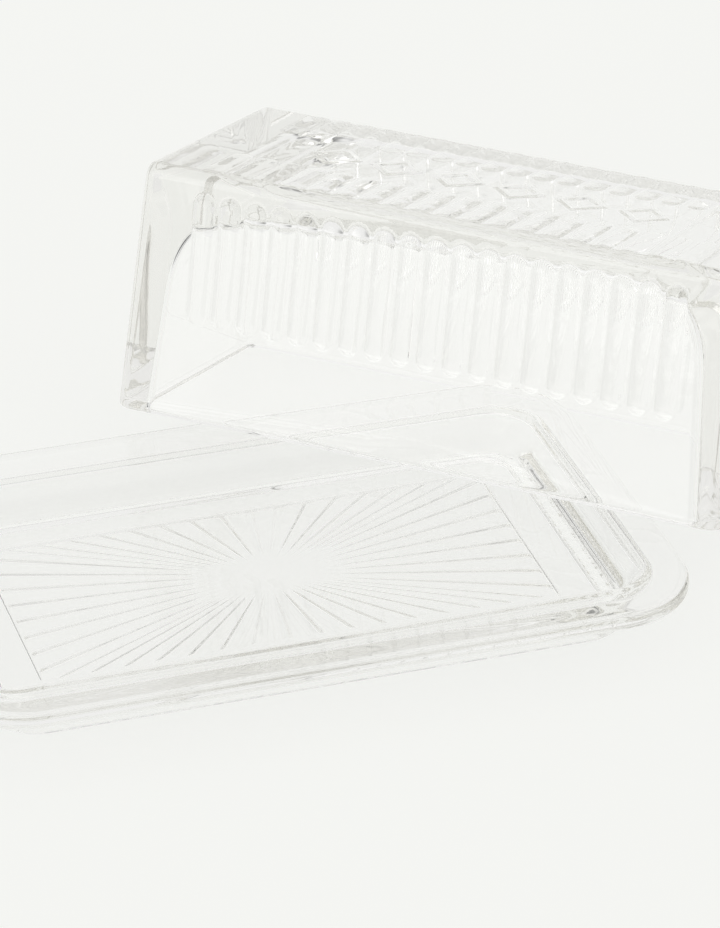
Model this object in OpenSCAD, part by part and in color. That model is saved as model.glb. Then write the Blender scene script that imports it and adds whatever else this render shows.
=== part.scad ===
// Pressed-glass butter dish: a tray with a deep well and a ribbed cover leaning on its rim.
// Millimetres. The origin is the centre of the tray's foot, on the table. X runs along the tray.

/* [Tray] */
// Length of the tray over its rim
tray_l = 190; // [160:1:220]
// Width of the tray over its rim
tray_w = 125.6; // [100:0.2:150]
// Height of the rim above the table
tray_h = 15.5; // [12:0.1:24]
// Corner radius of the rim
rim_corner_r = 23; // [12:0.5:35]
// Thickness of the flange round the well
flange_t = 4.2; // [3:0.1:6]
// Distance the flange overhangs the body below it at the ends
end_overhang = 8.5; // [4:0.5:11]
// Distance the flange overhangs the body below it along the sides
side_overhang = 11.8; // [4:0.1:14]
// Length of the foot at the table
foot_l = 159.6; // [130:0.2:180]
// Width of the foot at the table
foot_w = 94; // [70:0.2:120]
// Width of the raised foot ring under the tray
foot_ring_w = 3.2; // [2:0.1:8]

/* [Well] */
// Height of the floor inside the well
floor_z = 6.7; // [5:0.1:10]
// Height of the seat above the floor
seat_step = 0.8; // [0.2:0.1:2]
// Length of the lower floor inside the seat
floor_l = 144.6; // [120:0.2:160]
// Width of the lower floor inside the seat
floor_w = 72; // [50:0.2:90]
// Length of the well where its walls start
seat_l = 165.6; // [150:0.2:180]
// Width of the well where its walls start
seat_w = 81; // [70:0.2:100]
// Length of the well at the flange
well_top_l = 168; // [150:0.2:185]
// Width of the well at the flange
well_top_w = 98; // [80:0.2:115]
// Corner radius of the well
well_corner_r = 10; // [5:0.5:20]

/* [Sunburst] */
// Length of the fluted panel under the floor
panel_l = 131.2; // [100:0.2:150]
// Width of the fluted panel under the floor
panel_w = 63.6; // [50:0.2:80]
// Thickness of the floor at the panel
panel_t = 4.6; // [3:0.1:6]
// Number of grooves that end on each long side of the panel
rays_long = 16; // [8:2:24]
// Number of grooves that end on each short side of the panel
rays_short = 8; // [4:2:12]
// Width of a groove at the panel's border
ray_w = 2.6; // [1:0.1:4]
// Depth of a groove
ray_depth = 0.5; // [0.3:0.1:1.2]
// Distance from a groove's end to the panel's border
ray_gap = 0.8; // [0.2:0.1:3]
// Radius of the plain centre
centre_r = 14; // [8:1:28]

/* [Cover] */
// Length of the cover over its lip
lid_l = 164; // [140:1:180]
// Width of the cover over its lip
lid_w = 78; // [65:1:95]
// Height of the cover without the roof ribs
lid_h = 65.9; // [50:0.1:80]
// Distance each end wall leans in over its height
end_draft = 2.5; // [0.5:0.1:5]
// Distance each side wall leans in over its height
side_draft = 2.2; // [0.5:0.1:5]
// Radius of the cover's upright corners
lid_corner_r = 3.5; // [3:0.5:14]
// Thickness of the side walls at the lip
side_wall_t = 4.4; // [3:0.1:6]
// Thickness of the end walls at the lip
end_wall_t = 6.1; // [3:0.1:9]
// Thickness of the roof
roof_t = 8.4; // [4:0.1:9]
// Extra lean of the inside of the side walls
inner_side_draft = 1.2; // [0:0.1:4]
// Extra lean of the inside of the end walls
inner_end_draft = 4.5; // [0:0.1:6]

/* [Ribs] */
// Number of ribs along each side
rib_count = 19; // [9:2:25]
// Distance between ribs
rib_pitch = 7.1; // [5:0.1:10]
// Width of a rib
rib_w = 5.4; // [4:0.1:9]
// Height of a rib above the side wall
rib_h = 1.3; // [0.5:0.1:2.5]
// Height of a rib above the roof
roof_rib_h = 0.5; // [0.3:0.1:2]
// Height above the lip where the ribs start
rib_bottom = 26; // [10:1:45]
// Height above the lip where the ribs end
rib_top = 60.5; // [46:0.5:66]
// Length of a rib on the roof
roof_rib_l = 22; // [8:1:28]
// Distance from a roof rib's end to the edge of the roof
roof_rib_gap = 1.5; // [0.5:0.1:6]

/* [Ornament] */
// Number of diamonds along the roof
diamond_count = 6; // [3:1:9]
// Distance between diamonds
diamond_pitch = 17; // [12:0.5:22]
// Length of a diamond along the roof
diamond_l = 14; // [8:0.5:18]
// Width of a diamond across the roof
diamond_w = 16; // [8:0.5:22]
// Width of the raised line that draws a diamond
diamond_line = 2.2; // [1:0.1:4]
// Height of the ornament above the roof
diamond_h = 0.5; // [0.3:0.1:1.5]

/* [Leaning cover] */
// Turn of the cover about the upright, in degrees
lean_turn = -40.9; // [-60:0.1:0]
// Backward tilt of the cover, in degrees
lean_tilt = 11.9; // [0:0.1:20]
// Position of the middle of the cover's raised lower edge, along the tray
lean_x = 43.4; // [20:0.1:70]
// Position of the middle of the cover's raised lower edge, across the tray
lean_y = 19.9; // [0:0.1:40]
// Height of the cover's raised lower edge
lean_z = 16.7; // [14:0.1:20]

/* [Hidden] */
$fn = 64;
glass = [0.93, 0.95, 0.94, 0.35];
slack = 1;                      // overrun of a cutting solid past the surface it cuts
bead_r = flange_t / 2;          // the rim's edge is a half round
flange_z = tray_h - flange_t;
seat_z = floor_z + seat_step;
panel_z = floor_z - panel_t;
body_top_l = tray_l - 2 * end_overhang;
body_top_w = tray_w - 2 * side_overhang;
body_corner_r = rim_corner_r - side_overhang;
ring_in_l = foot_l - 2 * foot_ring_w;
ring_in_w = foot_w - 2 * foot_ring_w;
cavity_h = lid_h - roof_t;
roof_edge = lid_w / 2 - side_draft;
side_angle = atan(side_draft / lid_h);
rib_r = (pow(rib_w / 2, 2) + pow(rib_h, 2)) / (2 * rib_h);
roof_rib_r = (pow(rib_w / 2, 2) + pow(roof_rib_h, 2)) / (2 * roof_rib_h);
rib_root = 2;                   // depth of a rib's root inside the wall

// Flat rectangle with rounded corners, centred on the origin.
module rounded_rect(length, width, r) {
    square([length, width - 2 * r], center = true);
    square([length - 2 * r, width], center = true);
    for (sx = [-1, 1], sy = [-1, 1])
        translate([sx * (length / 2 - r), sy * (width / 2 - r)]) circle(r);
}

module rounded_block(length, width, r, z0, z1) {
    translate([0, 0, z0]) linear_extrude(z1 - z0) rounded_rect(length, width, r);
}

// Block whose four sides slope evenly from the bottom size to the top size.
module sloped_block(l0, w0, l1, w1, z0, z1) {
    intersection() {
        rotate([90, 0, 0]) linear_extrude(2 * (w0 + w1), center = true)
            polygon([[-l0 / 2, z0], [l0 / 2, z0], [l1 / 2, z1], [-l1 / 2, z1]]);
        rotate([90, 0, 90]) linear_extrude(2 * (l0 + l1), center = true)
            polygon([[-w0 / 2, z0], [w0 / 2, z0], [w1 / 2, z1], [-w1 / 2, z1]]);
    }
}

// Section of the flange from its corner's centre out to its half-round edge.
module flange_section() {
    translate([0, flange_z]) square([rim_corner_r - bead_r, flange_t]);
    translate([rim_corner_r - bead_r, flange_z + bead_r]) circle(bead_r);
}

// Flange as one plate: quarter discs at the corners, straight runs between them.
module flange() {
    run_l = tray_l - 2 * rim_corner_r;
    run_w = tray_w - 2 * rim_corner_r;
    translate([-run_l / 2, -run_w / 2, flange_z]) cube([run_l, run_w, flange_t]);
    for (side = [0, 180]) rotate([0, 0, side]) {
        translate([run_l / 2, 0, 0])
            rotate([90, 0, 0]) linear_extrude(run_w, center = true) flange_section();
        translate([0, run_w / 2, 0]) rotate([0, 0, 90])
            rotate([90, 0, 0]) linear_extrude(run_l, center = true) flange_section();
        translate([run_l / 2, run_w / 2, 0]) rotate_extrude(angle = 90) flange_section();
        translate([-run_l / 2, run_w / 2, 0])
            rotate([0, 0, 90]) rotate_extrude(angle = 90) flange_section();
    }
}

module tray_blank() {
    flange();
    intersection() {
        sloped_block(foot_l, foot_w, body_top_l, body_top_w, 0, flange_z);
        rounded_block(body_top_l, body_top_w, body_corner_r, 0, flange_z);
    }
}

module well() {
    rounded_block(floor_l, floor_w, well_corner_r / 2, floor_z, seat_z + slack);
    rise = tray_h - seat_z;
    over = (rise + slack) / rise;
    intersection() {
        sloped_block(seat_l, seat_w, seat_l + (well_top_l - seat_l) * over,
                     seat_w + (well_top_w - seat_w) * over, seat_z, tray_h + slack);
        rounded_block(well_top_l, well_top_w, well_corner_r, seat_z, tray_h + slack);
    }
}

// Narrow triangle from the panel's centre to a point on its border.
module ray(x, y) {
    rotate(atan2(y, x)) polygon([[0, 0], [norm([x, y]), -ray_w / 2], [norm([x, y]), ray_w / 2]]);
}

// Plan of the grooves: they run from the panel's centre to even steps along its border.
module rays() {
    step_l = panel_l / rays_long;
    step_w = panel_w / rays_short;
    for (side = [-1, 1]) {
        for (i = [0 : rays_long - 1])
            ray((i + 0.5) * step_l - panel_l / 2, side * panel_w / 2);
        for (i = [0 : rays_short - 1])
            ray(side * panel_l / 2, (i + 0.5) * step_w - panel_w / 2);
    }
}

// Grooves pressed up into the floor, between the plain centre and the panel's border.
module sunburst() {
    translate([0, 0, panel_z - slack]) linear_extrude(ray_depth + slack) intersection() {
        difference() {
            square([panel_l - 2 * ray_gap, panel_w - 2 * ray_gap], center = true);
            circle(centre_r);
        }
        rays();
    }
}

module tray() {
    color(glass) difference() {
        tray_blank();
        well();
        rounded_block(ring_in_l, ring_in_w, body_corner_r - foot_ring_w, -slack, panel_z);
        sunburst();
    }
}

module lid_blank() {
    intersection() {
        sloped_block(lid_l, lid_w, lid_l - 2 * end_draft, lid_w - 2 * side_draft, 0, lid_h);
        rounded_block(lid_l, lid_w, lid_corner_r, 0, lid_h);
    }
}

module cavity() {
    l0 = lid_l - 2 * end_wall_t;
    w0 = lid_w - 2 * side_wall_t;
    intersection() {
        sloped_block(l0, w0, l0 - 2 * (end_draft + inner_end_draft),
                     w0 - 2 * (side_draft + inner_side_draft), -slack, cavity_h);
        rounded_block(l0, w0, lid_corner_r / 2, -slack, cavity_h);
    }
}

// Cross-section of a rib: a round crest that stands up along +Y over a flat root.
module rib_section(r, height) {
    intersection() {
        translate([0, height - r]) circle(r);
        translate([-rib_w / 2, -rib_root]) square([rib_w, rib_root + height]);
    }
}

// Strip of a rib's width with two round ends, from y = 0 to its length.
module rib_outline(length) {
    translate([0, rib_w / 2]) circle(rib_w / 2);
    translate([-rib_w / 2, rib_w / 2]) square([rib_w, length - rib_w]);
    translate([0, length - rib_w / 2]) circle(rib_w / 2);
}

// One rib of the side at -Y and the rib above it on the roof.
module rib() {
    // The wall's rib leans with the wall.
    translate([0, -lid_w / 2, 0]) rotate([-side_angle, 0, 0]) intersection() {
        rotate([0, 0, 180]) linear_extrude(lid_h) rib_section(rib_r, rib_h);
        translate([0, rib_root, rib_bottom]) rotate([90, 0, 0])
            linear_extrude(rib_root + 2 * rib_h) rib_outline(rib_top - rib_bottom);
    }
    translate([0, roof_rib_gap - roof_edge, lid_h]) intersection() {
        rotate([-90, 180, 0]) linear_extrude(roof_rib_l) rib_section(roof_rib_r, roof_rib_h);
        translate([0, 0, -rib_root]) linear_extrude(2 * rib_root) rib_outline(roof_rib_l);
    }
}

module ribs() {
    first = -(rib_count - 1) / 2 * rib_pitch;
    for (i = [0 : rib_count - 1])
        translate([first + i * rib_pitch, 0, 0]) {
            rib();
            mirror([0, 1, 0]) rib();
        }
}

module diamond(length, width) {
    polygon([[-length / 2, 0], [0, -width / 2], [length / 2, 0], [0, width / 2]]);
}

module ornament() {
    first = -(diamond_count - 1) / 2 * diamond_pitch;
    for (i = [0 : diamond_count - 1])
        translate([first + i * diamond_pitch, 0, lid_h - slack])
            linear_extrude(diamond_h + slack) difference() {
                diamond(diamond_l, diamond_w);
                diamond(diamond_l - 2 * diamond_line, diamond_w - 2 * diamond_line);
            }
}

module lid_shape() {
    difference() {
        union() {
            lid_blank();
            ribs();
            ornament();
        }
        cavity();
    }
}

// The cover as it leans: its raised edge over the tray's rim, its other long edge by the table.
module lid() {
    color(glass) translate([lean_x, lean_y, lean_z]) rotate([0, 0, lean_turn])
        rotate([-lean_tilt, 0, 0]) translate([0, lid_w / 2, 0]) lid_shape();
}

tray();
lid();
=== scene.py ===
"""Clear pressed-glass butter dish: a rimmed tray and a ribbed cover that leans on its rim.

The camera, the light and the materials are in metres. The shapes of the tray and the cover are
in millimetres, and become metres when their meshes are done.
"""
import math

import bmesh
import bpy
import numpy as np
from mathutils import Matrix, Vector


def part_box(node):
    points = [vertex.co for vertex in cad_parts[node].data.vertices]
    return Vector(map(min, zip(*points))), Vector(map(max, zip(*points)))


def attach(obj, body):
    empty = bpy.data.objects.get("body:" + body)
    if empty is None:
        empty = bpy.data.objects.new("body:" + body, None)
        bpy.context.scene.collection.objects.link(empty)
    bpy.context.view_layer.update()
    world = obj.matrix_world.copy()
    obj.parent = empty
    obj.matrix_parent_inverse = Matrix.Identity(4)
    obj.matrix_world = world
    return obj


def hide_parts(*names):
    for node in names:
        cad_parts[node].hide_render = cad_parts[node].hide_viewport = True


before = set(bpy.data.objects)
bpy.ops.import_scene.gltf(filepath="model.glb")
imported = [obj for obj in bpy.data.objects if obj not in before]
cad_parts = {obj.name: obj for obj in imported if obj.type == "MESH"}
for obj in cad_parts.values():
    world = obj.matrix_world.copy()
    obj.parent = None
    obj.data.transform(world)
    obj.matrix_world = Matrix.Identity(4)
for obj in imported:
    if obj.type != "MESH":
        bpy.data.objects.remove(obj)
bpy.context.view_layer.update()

MM = 0.001


# ---------------------------------------------------------------- Camera, light and floor

CAMERA_AT = Vector((-0.2936, -1.0271, 0.6424))
CAMERA_LOOKS_AT = Vector((0.0410, 0.0545, 0.0))
CAMERA_ROLL = math.radians(-0.28)
CAMERA_LENS = 194.0
SENSOR_WIDTH = 36.0
VIEW_END = 50.0

FLOOR_SIZE = 8.0
FLOOR_WHITE = (0.12, 0.12, 0.1185, 1.0)
FLOOR_GLOW = (0.815, 0.821, 0.797, 1.0)
FLOOR_ROUGHNESS = 0.9

ROOM_COLOR = (1.0, 1.0, 0.99, 1.0)
ROOM_LIGHT = 0.88
# Turn from the camera's view to the right, height and half angle in degrees, and added light.
LIGHT_PATCHES = [
    (225, 5, 38, 1.0),
    (310, 17, 28, -0.8),
    (0, 75, 35, 0.2),
    (150, 70, 55, -0.3),
    (165, 0, 40, -0.5),
]
LIGHT_BOUNCES = 40              # enough for light to leave the thick glass again


def set_up_light_paths():
    scene = bpy.context.scene
    scene.view_settings.view_transform = "Standard"
    scene.cycles.max_bounces = LIGHT_BOUNCES
    scene.cycles.transmission_bounces = LIGHT_BOUNCES
    scene.cycles.glossy_bounces = LIGHT_BOUNCES


def make_camera():
    data = bpy.data.cameras.new("camera")
    data.lens = CAMERA_LENS
    data.sensor_width = SENSOR_WIDTH
    data.clip_end = VIEW_END
    camera = bpy.data.objects.new("camera", data)
    camera.location = CAMERA_AT
    aim = (CAMERA_LOOKS_AT - CAMERA_AT).to_track_quat("-Z", "Y")
    camera.rotation_euler = (aim.to_matrix() @ Matrix.Rotation(CAMERA_ROLL, 3, "Z")).to_euler()
    bpy.context.scene.collection.objects.link(camera)
    bpy.context.scene.camera = camera


def light_patch(nodes, links, direction, turn, height, half_angle, light):
    """Added light that is full at one place in the sky and fades to none at the half angle."""
    view = CAMERA_LOOKS_AT - CAMERA_AT
    turn = math.atan2(view.y, view.x) - math.radians(turn)
    height = math.radians(height)
    towards = nodes.new("ShaderNodeVectorMath")
    towards.operation = "DOT_PRODUCT"
    towards.inputs[1].default_value = (math.cos(turn) * math.cos(height),
                                       math.sin(turn) * math.cos(height), math.sin(height))
    links.new(direction, towards.inputs[0])
    patch = nodes.new("ShaderNodeMapRange")
    patch.interpolation_type = "SMOOTHSTEP"
    patch.inputs["From Min"].default_value = math.cos(math.radians(half_angle))
    patch.inputs["From Max"].default_value = 1.0
    patch.inputs["To Max"].default_value = light
    links.new(towards.outputs["Value"], patch.inputs["Value"])
    return patch.outputs["Result"]


def make_world():
    """Even white surroundings, with soft brighter or darker patches in a few directions."""
    world = bpy.data.worlds.new("studio")
    bpy.context.scene.world = world
    world.use_nodes = True
    nodes, links = world.node_tree.nodes, world.node_tree.links
    coords = nodes.new("ShaderNodeTexCoord")
    total = None
    for patch in LIGHT_PATCHES:
        add = nodes.new("ShaderNodeMath")
        links.new(light_patch(nodes, links, coords.outputs["Generated"], *patch), add.inputs[0])
        if total:
            links.new(total, add.inputs[1])
        else:
            add.inputs[1].default_value = ROOM_LIGHT
        total = add.outputs["Value"]
    no_less = nodes.new("ShaderNodeMath")
    no_less.operation = "MAXIMUM"
    no_less.inputs[1].default_value = 0.0
    links.new(total, no_less.inputs[0])
    background = nodes["Background"]
    background.inputs["Color"].default_value = ROOM_COLOR
    links.new(no_less.outputs["Value"], background.inputs["Strength"])


def make_floor():
    """A pale floor that mostly glows by itself, so that the shadows on it stay faint."""
    data = bpy.data.meshes.new("floor")
    half = FLOOR_SIZE / 2
    corners = [(-half, -half, 0), (half, -half, 0), (half, half, 0), (-half, half, 0)]
    data.from_pydata(corners, [], [(0, 1, 2, 3)])
    floor = bpy.data.objects.new("floor", data)
    bpy.context.scene.collection.objects.link(floor)
    material = bpy.data.materials.new("floor_white")
    material.use_nodes = True
    shader = material.node_tree.nodes["Principled BSDF"]
    shader.inputs["Base Color"].default_value = FLOOR_WHITE
    shader.inputs["Roughness"].default_value = FLOOR_ROUGHNESS
    shader.inputs["Specular IOR Level"].default_value = 0.0
    shader.inputs["Emission Color"].default_value = FLOOR_GLOW
    shader.inputs["Emission Strength"].default_value = 1.0
    data.materials.append(material)


# ---------------------------------------------------------------- Materials

GLASS_COLOR = (0.998, 0.998, 0.997, 1.0)
GLASS_IOR = 1.5
THICK_GLASS_TINT = (0.22, 0.18, 0.0, 1.0)
TRAY_DENSITY = 1.8              # absorption per metre of glass
LID_DENSITY = 1.2
STREAK_SCALE = (200.0, 200.0, 30.0)
STREAK_DEPTH = 0.00001
STREAK_DETAIL = 2.0
STIPPLE_SCALE = 400.0
STIPPLE_DEPTH = 0.0008
STIPPLE_TOP = 0.0003            # the foot is stippled up to this height


def mould_streaks(nodes, links, place, turn):
    """Faint upright streaks, in line with a piece turned by this much."""
    along = nodes.new("ShaderNodeMapping")
    along.inputs["Rotation"].default_value = (0.0, 0.0, -turn)
    along.inputs["Scale"].default_value = STREAK_SCALE
    streaks = nodes.new("ShaderNodeTexNoise")
    streaks.inputs["Scale"].default_value = 1.0
    streaks.inputs["Detail"].default_value = STREAK_DETAIL
    bump = nodes.new("ShaderNodeBump")
    bump.inputs["Strength"].default_value = 1.0
    bump.inputs["Distance"].default_value = STREAK_DEPTH
    links.new(place, along.inputs["Vector"])
    links.new(along.outputs["Vector"], streaks.inputs["Vector"])
    links.new(streaks.outputs["Fac"], bump.inputs["Height"])
    return bump.outputs["Normal"]


def foot_stipple(nodes, links, place, normal):
    """Small pits where the glass meets the table, on top of the bumps already in the normal."""
    stipple = nodes.new("ShaderNodeTexVoronoi")
    stipple.inputs["Scale"].default_value = STIPPLE_SCALE
    split = nodes.new("ShaderNodeSeparateXYZ")
    near_table = nodes.new("ShaderNodeMapRange")
    near_table.inputs["From Min"].default_value = STIPPLE_TOP
    near_table.inputs["From Max"].default_value = 0.0
    near_table.inputs["To Min"].default_value = 0.0
    near_table.inputs["To Max"].default_value = 1.0
    bump = nodes.new("ShaderNodeBump")
    bump.inputs["Distance"].default_value = STIPPLE_DEPTH
    links.new(place, stipple.inputs["Vector"])
    links.new(place, split.inputs["Vector"])
    links.new(split.outputs["Z"], near_table.inputs["Value"])
    links.new(near_table.outputs["Result"], bump.inputs["Strength"])
    links.new(stipple.outputs["Distance"], bump.inputs["Height"])
    links.new(normal, bump.inputs["Normal"])
    return bump.outputs["Normal"]


def glass_material(name, turn, density):
    """Clear pressed glass for a piece turned by this much. The denser it is, the more its
    thick parts darken."""
    material = bpy.data.materials.new(name)
    material.use_nodes = True
    nodes, links = material.node_tree.nodes, material.node_tree.links
    shader = nodes["Principled BSDF"]
    shader.inputs["Base Color"].default_value = GLASS_COLOR
    shader.inputs["Transmission Weight"].default_value = 1.0
    shader.inputs["IOR"].default_value = GLASS_IOR
    shader.inputs["Roughness"].default_value = 0.0
    place = nodes.new("ShaderNodeTexCoord").outputs["Object"]
    streaked = mould_streaks(nodes, links, place, turn)
    links.new(foot_stipple(nodes, links, place, streaked), shader.inputs["Normal"])
    body = nodes.new("ShaderNodeVolumeAbsorption")
    body.inputs["Color"].default_value = THICK_GLASS_TINT
    body.inputs["Density"].default_value = density
    links.new(body.outputs["Volume"], nodes["Material Output"].inputs["Volume"])
    return material


# ---------------------------------------------------------------- Mesh helpers

MERGE_WITHIN = 1e-7             # metres


def smoothstep(t):
    """Eases from 0 to 1 while t goes from 0 to 1."""
    t = np.clip(t, 0.0, 1.0)
    return t * t * (3.0 - 2.0 * t)


def grid_faces(rows, columns, first=0, wrap=False, flip=False):
    """Quads between neighbouring rows of a grid whose points are numbered row by row."""
    across = np.arange(columns if wrap else columns - 1)
    beside = (across + 1) % columns
    faces = []
    for row in range(rows - 1):
        low = first + row * columns
        high = low + columns
        quads = np.stack([low + across, low + beside, high + beside, high + across], axis=1)
        faces.append(quads[:, ::-1] if flip else quads)
    return np.concatenate(faces)


def merge_doubles(data):
    """Joins points in the same place, and turns all faces outwards."""
    work = bmesh.new()
    work.from_mesh(data)
    bmesh.ops.remove_doubles(work, verts=work.verts, dist=MERGE_WITHIN)
    bmesh.ops.recalc_face_normals(work, faces=work.faces)
    work.to_mesh(data)
    work.free()


def make_piece(node, shape, turn, density):
    """One closed, smooth glass piece that stands for a CAD node and rides on the body of the
    same name."""
    name = node + "_glass"
    points, faces = shape
    data = bpy.data.meshes.new(name)
    data.from_pydata(points.tolist(), [], faces)
    data.validate()
    merge_doubles(data)
    data.shade_smooth()
    data.materials.append(glass_material(name, turn, density))
    piece = bpy.data.objects.new(name, data)
    bpy.context.scene.collection.objects.link(piece)
    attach(piece, node)
    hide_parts(node)


# ---------------------------------------------------------------- Tray

# Half lengths and half widths.
WELL = (72.2, 35.9)
SEAT = (82.0, 40.4)
WALL_TOP = (83.9, 48.2)
FOOT = (79.8, 47.0)
PANEL = (65.6, 31.8)

FLOOR_Z = 6.7                   # height of the well's floor
SEAT_Z = FLOOR_Z + 0.5
PANEL_Z = 2.1                   # height of the underside round the panel
PANEL_STEP = 0.35               # how far the panel is sunk into it
RIM_W = 3.0                     # width of the rounding at the flange's edge
RIM_H = 4.3                     # height of the flange's edge
FOOT_RING = 3.2                 # width of the foot ring's face
# The bead inside the flange: outside the wall's top, below the tray's top, and rounding.
BEAD = [(0.0, 1.0, 0.5), (0.6, 0.1, 0.6), (1.7, 0.1, 0.6), (2.5, 0.7, 0.5)]
BEAD_CORNER_R = 10.0

FLUTES_LONG = 16                # flutes along each long side of the panel
FLUTES_SHORT = 8                # flutes along each short side of the panel
FLUTE_DEPTH = 0.15
FLUTE_FADE = 1.2                # distance over which a flute ends at the panel's border
GROOVE_DEPTH = 0.3
GROOVE_SHARE = 0.22             # half width of a groove, in flute widths
PLAIN_CENTRE = 0.2              # flutes begin at this share of the way to the border

COLUMNS_PER_FLUTE = 24
COLUMN_CROWDING = 1.6           # above 1, columns crowd round the grooves
CORNER_STEPS = 6
HOLD = 0.25                     # distance from a rounding to the station that holds it
MOST_ROUNDING = 0.45            # share of a stretch that one rounding may take
MOST_HOLD = 0.04                # share of a stretch that one hold may take
PANEL_EDGE_RINGS = 10
PANEL_RINGS = 30


def ring(angles, half_l, half_w, corner_r):
    """Points where lines from the centre at these angles meet a rounded rectangle."""
    along, across = np.abs(np.cos(angles)), np.abs(np.sin(angles))
    reach = np.minimum(half_l / np.maximum(along, 1e-9), half_w / np.maximum(across, 1e-9))
    corner_x, corner_y = half_l - corner_r, half_w - corner_r
    middle = corner_x * along + corner_y * across
    inside = middle ** 2 - corner_x ** 2 - corner_y ** 2 + corner_r ** 2
    arc = middle + np.sqrt(np.maximum(inside, 0.0))
    in_corner = (reach * along > corner_x) & (reach * across > corner_y)
    reach = np.where(in_corner, arc, reach)
    return reach * np.cos(angles), reach * np.sin(angles)


def rounded_path(corners):
    """Stations along a chain of corners (half length, half width, corner radius, height,
    rounding). Each corner is softened over its rounding, with a holding station either side."""
    corners = np.array(corners, float)
    roundings = corners[1:-1, 4]
    places = corners[:, :4]
    stations = [places[0]]
    for before, here, after, rounding in zip(places, places[1:], places[2:], roundings):
        back, ahead = before - here, after - here
        back_length = np.linalg.norm(back[[1, 3]]) + 1e-9
        ahead_length = np.linalg.norm(ahead[[1, 3]]) + 1e-9
        start = here + back * min(rounding / back_length, MOST_ROUNDING)
        end = here + ahead * min(rounding / ahead_length, MOST_ROUNDING)
        stations.append(start + back * min(HOLD / back_length, MOST_HOLD))
        for t in np.linspace(0.0, 1.0, CORNER_STEPS + 1):
            stations.append((1 - t) ** 2 * start + 2 * t * (1 - t) * here + t ** 2 * end)
        stations.append(end + ahead * min(HOLD / ahead_length, MOST_HOLD))
    stations.append(places[-1])
    return np.array(stations)


def flute_angles():
    """Angles of the tray's columns, and how far each is from the nearest groove between two
    flutes. The grooves run from the centre to even steps along the panel's border."""
    flutes = 2 * (FLUTES_LONG + FLUTES_SHORT)
    spread = np.linspace(-1.0, 1.0, COLUMNS_PER_FLUTE, endpoint=False)
    offset = 0.5 * np.sign(spread) * np.abs(spread) ** COLUMN_CROWDING
    along = (np.arange(flutes)[:, None] + 0.5 + offset[None, :]).ravel()
    off_groove = np.tile(np.abs(offset), flutes)
    half_l, half_w = PANEL
    quarter = FLUTES_SHORT / 2
    corners = np.array([0, quarter, quarter + FLUTES_LONG, 3 * quarter + FLUTES_LONG,
                        3 * quarter + 2 * FLUTES_LONG, flutes])
    x = np.interp(along, corners, [half_l, half_l, -half_l, -half_l, half_l, half_l])
    y = np.interp(along, corners, [0, half_w, half_w, -half_w, -half_w, 0])
    return np.arctan2(y, x), off_groove


def sunburst_depth(off_groove, x, y):
    """How deep the sunburst is pressed up into the panel: shallow round flutes that meet in
    fine grooves, growing from the plain centre and ending just inside the panel's border."""
    reach = np.maximum(np.abs(x) / PANEL[0], np.abs(y) / PANEL[1])
    to_border = np.minimum(PANEL[0] - np.abs(x), PANEL[1] - np.abs(y))
    grown = smoothstep((reach - PLAIN_CENTRE) / PLAIN_CENTRE)
    size = reach * grown * smoothstep(to_border / FLUTE_FADE)
    flute = (1.0 - 2.0 * off_groove) ** 2
    groove = smoothstep(1.0 - off_groove / GROOVE_SHARE)
    return size * (FLUTE_DEPTH * flute + GROOVE_DEPTH * groove)


def tray_stations():
    """The tray's profile, from the middle of its floor over the rim to the edge of the sunken
    panel under it: half length, half width, corner radius and height of each station."""
    rim_l, rim_w, top = (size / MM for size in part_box("tray")[1])
    foot_l, foot_w = FOOT
    ring_l, ring_w = foot_l - FOOT_RING, foot_w - FOOT_RING
    panel_l, panel_w = PANEL
    sunk_z = PANEL_Z + PANEL_STEP
    bead = [(WALL_TOP[0] + out, WALL_TOP[1] + out, BEAD_CORNER_R + out, top - down, rounding)
            for out, down, rounding in BEAD]
    return rounded_path([
        (2.0, 2.0, 2.0, FLOOR_Z, 0.0),
        (*WELL, 5.0, FLOOR_Z, 1.5),
        (*SEAT, 8.0, SEAT_Z, 2.5),
        *bead,
        (rim_l - RIM_W, rim_w - RIM_W, 20.0, top - 0.1, 1.8),
        (rim_l, rim_w, 23.0, top - 0.6, 1.6),
        (rim_l, rim_w, 23.0, top - RIM_H + 0.5, 1.6),
        (86.5, 51.0, 14.0, top - RIM_H, 1.0),
        (foot_l + 0.6, foot_w + 0.6, 12.5, 0.5, 0.6),
        (foot_l, foot_w, 12.0, 0.0, 0.5),
        (ring_l, ring_w, 8.0, 0.0, 0.5),
        (ring_l - 0.8, ring_w - 0.8, 7.2, PANEL_Z, 0.6),
        (panel_l + 0.4, panel_w + 0.4, 1.5, PANEL_Z, 0.2),
        (panel_l, panel_w, 1.2, sunk_z, 0.2),
        (panel_l - 0.4, panel_w - 0.4, 1.0, sunk_z, 0.0),
    ])


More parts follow.
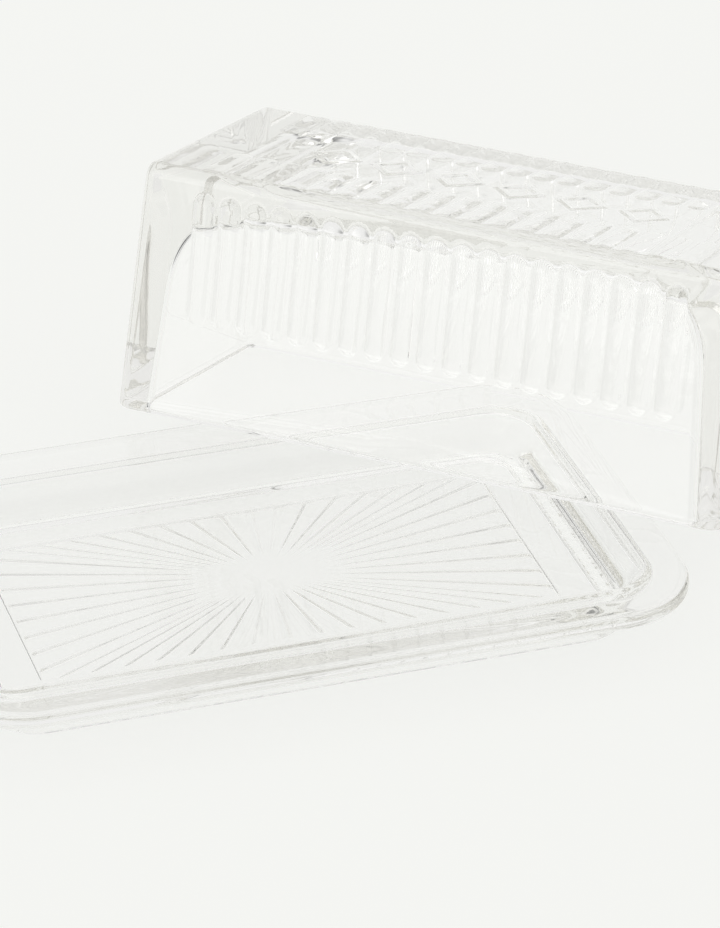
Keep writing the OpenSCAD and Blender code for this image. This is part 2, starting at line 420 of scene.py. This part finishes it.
def tray_mesh():
    """Points and faces of the tray: rings of points from the middle of its floor over the rim
    to the middle of its underside."""
    angles, off_groove = flute_angles()
    columns = len(angles)
    upper = tray_stations()
    sunk_z = PANEL_Z + PANEL_STEP
    shares = np.concatenate([1.0 - np.linspace(0.4, 3.0, PANEL_EDGE_RINGS) / PANEL[1],
                             np.linspace(0.88, 0.04, PANEL_RINGS)])
    panel = shares[:, None] * [*PANEL, 0.5, 0.0] + [0.0, 0.0, 0.0, sunk_z]
    rings = []
    for number, (half_l, half_w, corner_r, z) in enumerate([*upper, *panel]):
        x, y = ring(angles, half_l, half_w, corner_r)
        height = np.full(columns, z)
        if number >= len(upper):
            height += sunburst_depth(off_groove, x, y)
        rings.append(np.stack([x, y, height], axis=1))
    points = np.concatenate(rings + [[[0, 0, FLOOR_Z], [0, 0, sunk_z]]])
    faces = grid_faces(len(rings), columns, wrap=True).tolist()
    top_centre, bottom_centre = len(points) - 2, len(points) - 1
    last = (len(rings) - 1) * columns
    for i in range(columns):
        j = (i + 1) % columns
        faces.append([i, j, top_centre])
        faces.append([last + j, last + i, bottom_centre])
    return points * MM, faces


# ---------------------------------------------------------------- Cover

LEAN_TURN = math.radians(-40.9)
LEAN_TILT = math.radians(11.9)
LEAN_AT = (43.4, 19.9, 16.7)    # middle of the lower edge that rests on the tray's flange
LID_HALF_W = 39.0
LID_HEIGHT = 65.9
LIP_R = 1.8
LIP_STEPS = 15
LIP_SQUARENESS = 0.55           # 1 is a round lip, and less is flatter

RIBS = 19
RIB_PITCH = 7.1
RIBS_MIDDLE = 1.5               # the ribs are this far off the cover's middle
RIB_W = 5.8
RIB_H = 1.3
RIB_ROUNDNESS = 2.4             # 2 is a parabola, and more is flatter on top
RIB_BOTTOM = 26.0
RIB_TOP = 60.5
ROOF_RIB_H = 0.22
ROOF_RIB_REACH = 22.0

DIAMONDS = 6
DIAMOND_PITCH = 17.0
DIAMOND_HALF = (7.0, 8.0)
DIAMOND_H = 0.18
DIAMOND_LINE = 0.81             # where the raised line runs, as a share of the diamond
DIAMOND_SLANT = 0.75            # distance across the line, by distance along the length
DIAMOND_LINE_HALF = 1.37        # half width of the line at its foot
DIAMOND_LINE_SLOPE = 0.9        # width of its slope

MAIN_STEPS = 560
ROUND_STEPS = 8
END_STEPS = 10

# Drop, slope (along the length) and dome (at DOME_AT) lower the ceiling. End lean and bulge
# draw the ends in towards the top, over the last LEAN_BLEND of the length.
OUTER = dict(half_l=83.0, half_w=LID_HALF_W, top=LID_HEIGHT, end_lean=2.5, side_lean=2.2,
             corner_r=3.5, edge_r=3.0, end_edge_r=2.5, end_bulge=0.0,
             drop=0.0, slope=0.0, dome=0.0, wall_steps=120, roof_steps=120)
INNER = dict(half_l=76.0, half_w=34.6, top=59.7, end_lean=4.6, side_lean=3.4,
             corner_r=2.5, edge_r=3.0, end_edge_r=2.0, end_bulge=9.5,
             drop=2.3, slope=0.035, dome=1.9, wall_steps=60, roof_steps=20)
BULGE_REACH = 18.0              # how far below the ceiling the bulge begins
DOME_AT = 66.0
LEAN_BLEND = 25.0


def arch_points(shell, shrink_w, shrink_top, keep):
    """Y and z of an arch from one lip over the roof to the other, with its half width and its
    height drawn in, then drawn together to its waist where keep is less than 1."""
    edge_r = shell["edge_r"]
    top = shell["top"] - shrink_top
    wall_top = top - edge_r

    def half_w(z):
        return shell["half_w"] - shrink_w - shell["side_lean"] * z / shell["top"]

    wall_z = LIP_R + (wall_top - LIP_R) * np.linspace(0.0, 1.0, shell["wall_steps"])
    wall_y = half_w(wall_z)
    roof_half = half_w(wall_top) - edge_r
    turn = np.linspace(0.0, math.pi / 2, ROUND_STEPS + 2)[1:-1]
    turn_y = roof_half + edge_r * np.cos(turn)
    turn_z = wall_top + edge_r * np.sin(turn)
    roof_y = roof_half * np.linspace(-1.0, 1.0, shell["roof_steps"])
    roof_z = np.full(len(roof_y), top)
    y = np.concatenate([-wall_y, -turn_y, roof_y, turn_y[::-1], wall_y[::-1]])
    z = np.concatenate([wall_z, turn_z, roof_z, turn_z[::-1], wall_z[::-1]])
    waist = top / 2
    high = waist + (top - waist) * keep
    z = LIP_R + (z - LIP_R) * (high - LIP_R) / (top - LIP_R)
    return y * keep, z


def shell_stations(shell):
    """Stations along a hollow box shape: an end wall that opens from a line, a rounded corner,
    the length, then the same again at the other end. Each is a side, a distance from the
    middle, how far the arch's width and height are drawn in, and how much of it is kept."""
    corner_r, end_edge_r = shell["corner_r"], shell["end_edge_r"]
    straight = shell["half_l"] - corner_r
    end = [(shell["half_l"], corner_r, end_edge_r, keep)
           for keep in np.linspace(0.0, 1.0, END_STEPS + 1)[:-1]]
    for turn in np.linspace(math.pi / 2, 0.0, ROUND_STEPS + 1)[:-1]:
        inset = 1.0 - math.cos(turn)
        end.append((straight + corner_r * math.sin(turn), corner_r * inset,
                    end_edge_r * inset, 1.0))
    main = [(math.copysign(1, x), abs(x), 0.0, 0.0, 1.0)
            for x in np.linspace(-straight, straight, MAIN_STEPS + 1)]
    return [(-1, *station) for station in end] + main + [(1, *station) for station in end[::-1]]


def shell_grid(shell):
    """Grid of points over a hollow box shape. Rows run along x, columns along the arch."""
    straight = shell["half_l"] - shell["corner_r"]
    grid = []
    for side, distance, shrink_w, shrink_top, keep in shell_stations(shell):
        along = side * distance
        ceiling = shell["drop"] - shell["slope"] * along + shell["dome"] * (along / DOME_AT) ** 4
        y, z = arch_points(shell, shrink_w, shrink_top + ceiling, keep)
        high = np.clip((z - shell["top"] + ceiling) / BULGE_REACH + 1.0, 0.0, 1.0)
        lean = (shell["end_lean"] * z / shell["top"]
                + shell["end_bulge"] * (1.0 - np.sqrt(1.0 - high ** 2)))
        share = smoothstep((distance - straight + LEAN_BLEND) / LEAN_BLEND)
        x = side * (distance - lean * share)
        grid.append(np.stack([x, y, z], axis=1))
    return np.array(grid)


def tongue(along, across, start, end):
    """Height from 0 to 1 of a rib with two round ends: across is the distance from its middle
    line, along runs from its start to its end."""
    half = RIB_W / 2
    past = np.maximum(np.maximum(start + half - along, along - end + half), 0.0)
    reach = np.hypot(across, past) / half
    return np.clip(1.0 - reach ** RIB_ROUNDNESS, 0.0, 1.0)


def rib_height(x, y, z):
    """Height of the upright ribs on the walls and of the short ones above them on the roof."""
    along = x - RIBS_MIDDLE
    across = np.abs((along / RIB_PITCH + 0.5) % 1.0 - 0.5) * RIB_PITCH
    on_ribs = np.abs(along) <= RIBS * RIB_PITCH / 2
    on_roof = z > LID_HEIGHT - OUTER["edge_r"]
    roof_edge = LID_HALF_W - OUTER["side_lean"] - OUTER["edge_r"] / 2
    wall = tongue(z, across, RIB_BOTTOM, RIB_TOP)
    roof = tongue(np.abs(y), across, roof_edge - ROOF_RIB_REACH, roof_edge)
    return on_ribs * np.where(on_roof, roof * ROOF_RIB_H, wall * RIB_H)


def diamond_height(x, y, z):
    """Height of the row of outlined diamonds along the middle of the roof."""
    nearest = (np.round(x / DIAMOND_PITCH - 0.5) + 0.5) * DIAMOND_PITCH
    in_row = np.abs(nearest) < DIAMONDS * DIAMOND_PITCH / 2
    on_roof = z > LID_HEIGHT - 0.01
    size = np.abs(x - nearest) / DIAMOND_HALF[0] + np.abs(y) / DIAMOND_HALF[1]
    off_line = np.abs(size - DIAMOND_LINE) * DIAMOND_HALF[0] * DIAMOND_SLANT
    line = smoothstep((DIAMOND_LINE_HALF - off_line) / DIAMOND_LINE_SLOPE)
    return DIAMOND_H * line * in_row * on_roof


def raise_ornament(grid):
    """Pushes the ribs and the diamonds out of the cover's outer surface."""
    middle = grid[len(grid) // 2]
    step = np.gradient(middle, axis=0)
    normal = np.stack([-step[:, 2], step[:, 1]], axis=1)
    normal /= np.linalg.norm(normal, axis=1)[:, None]
    x = grid[:, :, 0]
    y, z = middle[:, 1][None, :], middle[:, 2][None, :]
    height = np.maximum(rib_height(x, y, z), diamond_height(x, y, z))
    raised = grid.copy()
    raised[:, :, 1] += height * normal[:, 0]
    raised[:, :, 2] += height * normal[:, 1]
    return raised


def squared(wave):
    """Turns the cosine or sine of a half circle into that of a flat-bottomed round."""
    return math.copysign(abs(wave) ** LIP_SQUARENESS, wave)


def lip_grid(outer_edge, inner_edge):
    """Rows of points round the lip, from the outer surface's edge to the inner one's."""
    middle, half = (outer_edge + inner_edge) / 2, (outer_edge - inner_edge) / 2
    rows = [outer_edge]
    for turn in np.linspace(0.0, math.pi, LIP_STEPS + 2)[1:-1]:
        down = LIP_R * squared(math.sin(turn))
        rows.append(middle + half * squared(math.cos(turn)) - [0, 0, down])
    rows.append(inner_edge)
    return np.array(rows)


def lid_mesh():
    """Points and faces of the cover where it leans: its outer and inner surfaces, and a lip
    along each long edge and round the ends to join them."""
    outer, inner = raise_ornament(shell_grid(OUTER)), shell_grid(INNER)
    lips = [lip_grid(outer[:, end], inner[:, end]) for end in (0, -1)]
    blocks, faces, first = [], [], 0
    for grid, flip in ((outer, True), (inner, False), (lips[0], False), (lips[1], True)):
        rows, columns = grid.shape[:2]
        blocks.append(grid.reshape(-1, 3))
        faces.append(grid_faces(rows, columns, first, flip=flip))
        first += rows * columns
    points = np.concatenate(blocks)
    place = np.array(Matrix.Translation(LEAN_AT) @ Matrix.Rotation(LEAN_TURN, 4, "Z")
                     @ Matrix.Rotation(-LEAN_TILT, 4, "X")
                     @ Matrix.Translation((0, LID_HALF_W, 0)))
    points = points @ place[:3, :3].T + place[:3, 3]
    return points * MM, np.concatenate(faces).tolist()


# ---------------------------------------------------------------- The scene

set_up_light_paths()
make_camera()
make_world()
make_floor()
make_piece("tray", tray_mesh(), 0.0, TRAY_DENSITY)
make_piece("lid", lid_mesh(), LEAN_TURN, LID_DENSITY)
